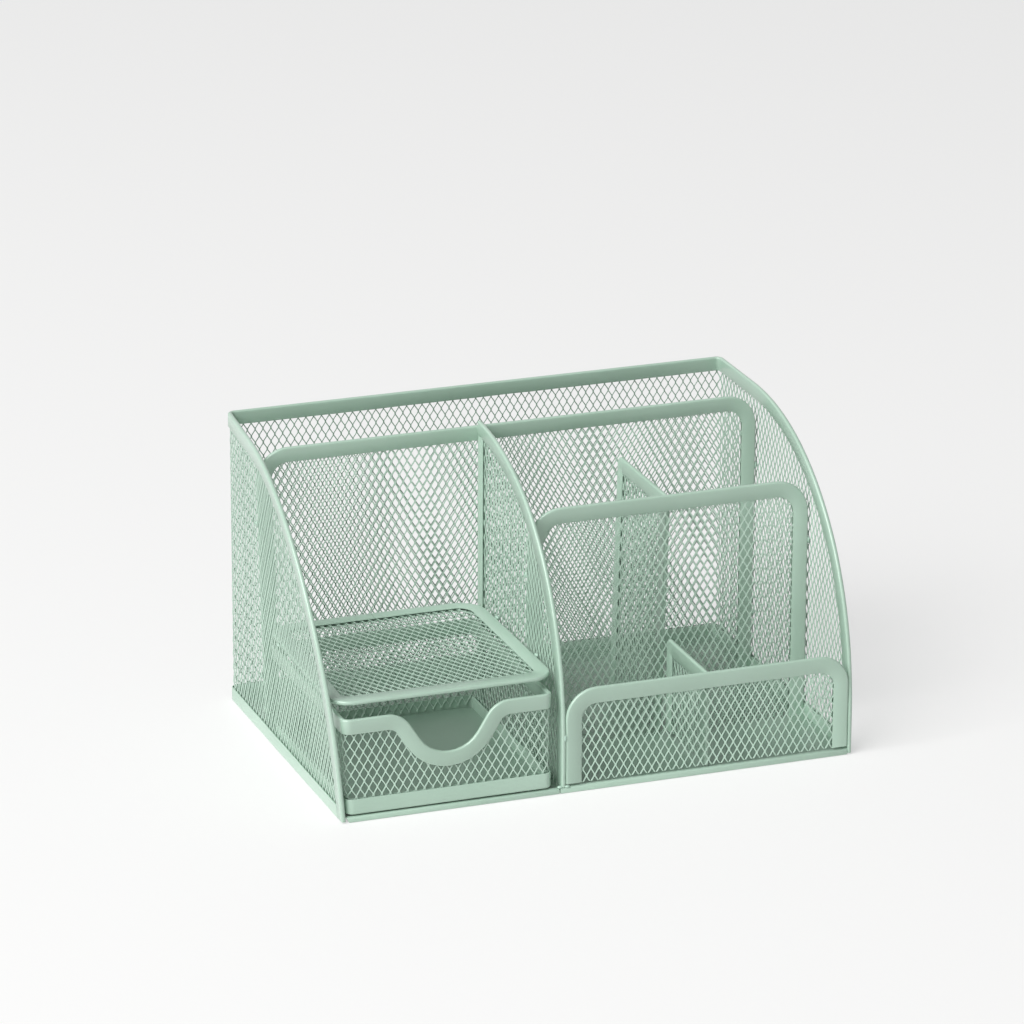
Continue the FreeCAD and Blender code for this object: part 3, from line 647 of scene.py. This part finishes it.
SHELF_LEVEL = 49.2
SHELF_STRIP, SHELF_STRIP_SWELL = 6.4, 1.3   # its fold is looser than on the other strips
SHELF_FRONT_Y, SHELF_BACK_Y = -69.5, 23.0
SHELF_LEFT_FRONT_X, SHELF_LEFT_BACK_X, SHELF_RIGHT_X = -112.8, -109.8, -18.1
SHELF_FRONT_RADIUS, SHELF_BACK_RADIUS = 9.8, 12.0
SHELF_SEAM_X = -65.0
HALF_SEAM = 0.1
shelf_corners = [(SHELF_SEAM_X + HALF_SEAM, SHELF_BACK_Y, 0),
                 (SHELF_RIGHT_X, SHELF_BACK_Y, SHELF_BACK_RADIUS),
                 (SHELF_RIGHT_X, SHELF_FRONT_Y, SHELF_FRONT_RADIUS),
                 (SHELF_LEFT_FRONT_X, SHELF_FRONT_Y, SHELF_FRONT_RADIUS),
                 (SHELF_LEFT_BACK_X, SHELF_BACK_Y, SHELF_BACK_RADIUS),
                 (SHELF_SEAM_X - HALF_SEAM, SHELF_BACK_Y, 0)]


def on_shelf(across, depth, up):
    return Vector((across, depth, SHELF_LEVEL + up))


def strip_on_shelf(across, depth, up):
    return on_shelf(across, depth, up * SHELF_STRIP_SWELL)


shelf_strip = folded_strip(rounded_path(shelf_corners, SHELF_STRIP), SHELF_STRIP, strip_on_shelf)
shelf_strip = set_out(shelf_strip, "shelf_strip", coated_strip)
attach(shelf_strip, "stand")
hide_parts("shelf_rim")

shelf_outline = outline_of(rounded_path(shelf_corners, HIDDEN))
shelf_mesh = expanded_sheet(shelf_outline, on_shelf, pitch=(3.4, 6.04), turns=(3.0, -1.5))
shelf_mesh = set_out(shelf_mesh, "shelf_expanded_mesh", coated_mesh)
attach(shelf_mesh, "stand")
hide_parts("shelf_mesh")


# DRAWER
# One band of mesh bent round four corners, with a strip folded over its top edge, a second
# strip round its foot and a flat floor plate. The front dips in a V to pull it out by.

DRAWER_LOW, DRAWER_TOP = 3.0, 43.6
DRAWER_LEFT, DRAWER_RIGHT, DRAWER_FRONT, DRAWER_BACK = -107.1, -21.3, -71.6, 19.1
DRAWER_FRONT_BEND, DRAWER_BACK_BEND = 2.7, 2.1
DRAWER_FLARE = 1.4                       # how much further out the left side is at the top
DRAWER_STRIP, DRAWER_SKIRT = 6.2, 6.6
DRAWER_SEAM_X = -60.0
PULL_X, PULL_HALF_WIDTH, PULL_DEPTH = -64.0, 19.4, 31.4
PULL_SHOULDER_RADIUS, PULL_FLOOR_RADIUS = 11.0, 14.0
SQUARE_ON = 0.999                        # share of the outward way where the band faces one side
PAST_MARK = 1.0                          # how far past a bend's end that way is read

drawer_length, drawer_marks, drawer_at = plan_walk([
    (DRAWER_SEAM_X + HALF_SEAM, DRAWER_BACK, 0),
    (DRAWER_RIGHT, DRAWER_BACK, DRAWER_BACK_BEND), (DRAWER_RIGHT, DRAWER_FRONT, DRAWER_FRONT_BEND),
    (DRAWER_LEFT, DRAWER_FRONT, DRAWER_FRONT_BEND), (DRAWER_LEFT, DRAWER_BACK, DRAWER_BACK_BEND),
    (DRAWER_SEAM_X - HALF_SEAM, DRAWER_BACK, 0)])


def on_drawer(along, height, out):
    """Point of the drawer's band: along it from the seam at the back, up it, and out from it."""
    place, way = drawer_at(along)
    x, y = place + way * out
    flare = DRAWER_FLARE * (height - DRAWER_LOW) / (DRAWER_TOP - DRAWER_LOW)
    return Vector((x - flare * (DRAWER_RIGHT - x) / (DRAWER_RIGHT - DRAWER_LEFT), y, height))


front_start = next(mark for mark in drawer_marks if drawer_at(mark + PAST_MARK)[1].y < -SQUARE_ON)
front_start_x = drawer_at(front_start)[0].x
pull_along = front_start + front_start_x - PULL_X
drawer_edge = [(0, DRAWER_TOP, 0),
               (pull_along - PULL_HALF_WIDTH, DRAWER_TOP, PULL_SHOULDER_RADIUS),
               (pull_along, DRAWER_TOP - PULL_DEPTH, PULL_FLOOR_RADIUS),
               (pull_along + PULL_HALF_WIDTH, DRAWER_TOP, PULL_SHOULDER_RADIUS),
               (drawer_length, DRAWER_TOP, 0)]

drawer_strip = rounded_path(drawer_edge, DRAWER_STRIP, stops=drawer_marks)
drawer_strip = folded_strip(drawer_strip, DRAWER_STRIP, on_drawer)
drawer_strip = set_out(drawer_strip, "drawer_top_strip", coated_strip)
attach(drawer_strip, "drawer")
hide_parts("drawer_front_rim", "drawer_left_rim", "drawer_right_rim", "drawer_back_rim")

back_corner = next(mark for mark in drawer_marks if drawer_at(mark + PAST_MARK)[1].x > SQUARE_ON)


def drawer_foot(start, end):
    return rounded_path([(start, DRAWER_LOW, 0), (end, DRAWER_LOW, 0)], DRAWER_SKIRT, stops=drawer_marks)


drawer_skirt = folded_strip(drawer_foot(drawer_length - back_corner, back_corner), DRAWER_SKIRT, on_drawer)
drawer_skirt = set_out(drawer_skirt, "drawer_skirt_strip", coated_strip)
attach(drawer_skirt, "drawer")
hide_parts("drawer_front_skirt", "drawer_left_skirt", "drawer_right_skirt")

# Along the back the strip has only its outer leaf
outer_leaf = ((EASED_ACROSS, STRIP_HALF), (0.0, STRIP_HALF - EASED_ACROSS), (0.0, STRIP_HALF - LEAF),
              (DRAWER_SKIRT, STRIP_HALF - LEAF), (DRAWER_SKIRT, STRIP_HALF - EASED_THROUGH),
              (DRAWER_SKIRT - EASED_ACROSS, STRIP_HALF))
outer_leaf = [Vector((0, depth, through)) for depth, through in outer_leaf]
skirt_back = bmesh.new()
for start, end in ((drawer_length, drawer_length - back_corner), (back_corner, 0)):
    sweep(skirt_back, outer_leaf, stations(drawer_foot(start, end), DRAWER_SKIRT, on_drawer))
skirt_back = set_out(skirt_back, "drawer_skirt_back", coated_strip)
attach(skirt_back, "drawer")
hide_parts("drawer_back_skirt")

drawer_outline = outline_of(rounded_path(drawer_edge, HIDDEN))
drawer_outline += [(drawer_length, DRAWER_LOW + HIDDEN), (0, DRAWER_LOW + HIDDEN)]
drawer_mesh = expanded_sheet(drawer_outline, on_drawer, pitch=(3.58, 6.2), turns=(0.4, 0.0), hand=-1)
drawer_mesh = set_out(drawer_mesh, "drawer_expanded_mesh", coated_mesh)
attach(drawer_mesh, "drawer")
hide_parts("drawer_front_mesh", "drawer_left_mesh", "drawer_right_mesh", "drawer_back_mesh")

# The drawer's floor takes the darker plate colour too, which is painted shade
drawer_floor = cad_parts["drawer_floor"]
drawer_floor.data.materials.clear()
drawer_floor.data.materials.append(painted_shade_plate_coat)


# WELDS
# Small spots of weld metal, coated over with the rest, that tie the shelf and the panels to
# the walls and to the centre divider.

SHELF_WELDS_Y = (2.4, -43.5)
REAR_WELDS_Z = (26.0, 92.0)
MIDDLE_WELDS_Z = (26.0, 78.0)
LEFT_WELD_X, RIGHT_WELD_X = -108.6, 108.5   # on the walls, at the foot

coated_weld = powder_coat("coated weld", thick=(170, 200, 184), thin=(180, 210, 193), patch_scale=60.0,
                          roughness=0.45, peel_scale=900.0, peel_height=0.0001)


def weld_spots(places, name, node):
    """Flattened spots of weld metal, each given by its centre and its half sizes."""
    bm = bmesh.new()
    for centre, size in places:
        blob = bmesh.ops.create_icosphere(bm, subdivisions=2, radius=1.0)["verts"]
        bmesh.ops.scale(bm, vec=size, verts=blob)
        bmesh.ops.translate(bm, vec=centre, verts=blob)
    spots = set_out(bm, name, coated_weld)
    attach(spots, "stand")
    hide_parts(node)


def on_left_wall(y, z):
    return (LEFT_WELD_X - SPLAY * z * (DEPTH / 2 - y) / DEPTH, y, z)


shelf_places = []
for y in SHELF_WELDS_Y:
    shelf_places.append((on_left_wall(y, SHELF_LEVEL), (0.8, 1.6, 0.9)))
    shelf_places.append(((-16.9, y, SHELF_LEVEL), (0.9, 1.5, 0.9)))
weld_spots(shelf_places, "shelf_weld_spots", "shelf_welds")

panel_places = []
for z in REAR_WELDS_Z:
    panel_places.append((on_left_wall(REAR_Y, z), (0.8, 1.0, 1.6)))
    panel_places.append(((RIGHT_WELD_X, REAR_Y, z), (0.7, 1.0, 1.6)))
    panel_places.append(((DIVIDER_FACE_X, 29.2, z), (1.0, 0.8, 1.6)))
for z in MIDDLE_WELDS_Z:
    panel_places.append(((RIGHT_WELD_X, MIDDLE_Y, z), (0.7, 1.0, 1.6)))
    panel_places.append(((-15.1, MIDDLE_Y, z), (0.8, 1.0, 1.6)))

# Of the front panel, and of both lengths of the sill at the divider's foot
panel_places.append(((-15.3, -72.5, 23.7), (0.8, 0.7, 1.6)))
panel_places.append(((-17.4, -72.4, 2.9), (1.2, 0.8, 0.6)))
panel_places.append(((-14.3, -72.6, 2.9), (1.2, 0.7, 0.6)))
weld_spots(panel_places, "panel_weld_spots", "panel_welds")


# TABLE, LIGHT AND CAMERA
# A plain pale table top under soft daylight from the left. The camera stands a good two
# metres away at the front left and looks a little down, through a long lens.

TABLE_RADIUS, TABLE_GAP = 12.0, 0.00005
TABLE_LIFT = 0.55                        # how far the table is lifted towards white
SHADE_LIGHT, SHEEN_LIGHT = 0.13, 0.8     # daylight all round, on matt surfaces and in the sheen
WINDOW_PLACE, WINDOW_AIM = (-2.6, -1.3, 2.8), (0, 0, 0.05)
WINDOW_SIZE, WINDOW_POWER = 3.0, 204.0
CAMERA_DOWN, CAMERA_LEFT, CAMERA_ROLL = 19.5227, 20.4403, 0.2473
CAMERA_PLACE = (-0.0103731, 0.0885613, 2.38903)   # from the origin, in the camera's own axes
LENS = 202.81


def pale_table():
    bm = bmesh.new()
    bmesh.ops.create_circle(bm, cap_ends=True, segments=64, radius=TABLE_RADIUS)
    bmesh.ops.translate(bm, vec=(0, 0, -TABLE_GAP), verts=bm.verts)
    mesh = bpy.data.meshes.new("table_top")
    bm.to_mesh(mesh)
    bm.free()
    material = bpy.data.materials.new("pale table")
    material.use_nodes = True
    nodes, links = material.node_tree.nodes, material.node_tree.links
    shader = nodes["Principled BSDF"]
    shader.inputs["Base Color"].default_value = paint(249, 249, 248)
    shader.inputs["Roughness"].default_value = 0.6
    shader.inputs["Specular IOR Level"].default_value = 0.1
    glow = nodes.new("ShaderNodeEmission")
    glow.inputs["Color"].default_value = (1.0, 1.0, 1.0, 1.0)
    rays = nodes.new("ShaderNodeLightPath")
    mirrored = nodes.new("ShaderNodeMath")
    mirrored.operation = "MAXIMUM"
    links.new(rays.outputs["Is Glossy Ray"], mirrored.inputs[0])
    links.new(rays.outputs["Is Transmission Ray"], mirrored.inputs[1])
    seen = nodes.new("ShaderNodeMath")
    seen.operation = "MAXIMUM"
    links.new(rays.outputs["Is Camera Ray"], seen.inputs[0])
    links.new(mirrored.outputs["Value"], seen.inputs[1])
    whitened = nodes.new("ShaderNodeMath")
    whitened.operation = "MULTIPLY"
    whitened.inputs[1].default_value = TABLE_LIFT
    links.new(seen.outputs["Value"], whitened.inputs[0])
    blend = nodes.new("ShaderNodeMixShader")
    links.new(whitened.outputs["Value"], blend.inputs["Fac"])
    links.new(shader.outputs["BSDF"], blend.inputs[1])
    links.new(glow.outputs["Emission"], blend.inputs[2])
    links.new(blend.outputs["Shader"], nodes["Material Output"].inputs["Surface"])
    mesh.materials.append(material)
    table = bpy.data.objects.new("table_top", mesh)
    bpy.context.scene.collection.objects.link(table)
    return table


pale_table()

world = bpy.data.worlds.new("daylight")
world.use_nodes = True
nodes, links = world.node_tree.nodes, world.node_tree.links
rays = nodes.new("ShaderNodeLightPath")
strength = nodes.new("ShaderNodeMapRange")
strength.inputs["To Min"].default_value = SHADE_LIGHT
strength.inputs["To Max"].default_value = SHEEN_LIGHT
links.new(rays.outputs["Is Glossy Ray"], strength.inputs["Value"])
links.new(strength.outputs["Result"], nodes["Background"].inputs["Strength"])
nodes["Background"].inputs["Color"].default_value = (1.0, 1.0, 1.0, 1.0)
bpy.context.scene.world = world

window = bpy.data.objects.new("window", bpy.data.lights.new("window", "AREA"))
window.data.shape = "SQUARE"
window.data.size = WINDOW_SIZE
window.data.energy = WINDOW_POWER
window.location = WINDOW_PLACE
to_object = Vector(WINDOW_AIM) - Vector(WINDOW_PLACE)
window.rotation_euler = to_object.to_track_quat("-Z", "Y").to_euler()
bpy.context.scene.collection.objects.link(window)

camera = bpy.data.objects.new("camera", bpy.data.cameras.new("camera"))
camera.data.sensor_width = 36.0
camera.data.lens = LENS
aim = Euler((math.radians(90 - CAMERA_DOWN), 0, math.radians(-CAMERA_LEFT))).to_matrix()
aim = aim @ Matrix.Rotation(math.radians(CAMERA_ROLL), 3, "Z")
camera.matrix_world = Matrix.Translation(aim @ Vector(CAMERA_PLACE)) @ aim.to_4x4()
camera.data.clip_end = 50.0
bpy.context.scene.collection.objects.link(camera)
bpy.context.scene.camera = camera
bpy.context.scene.view_settings.view_transform = "Standard"
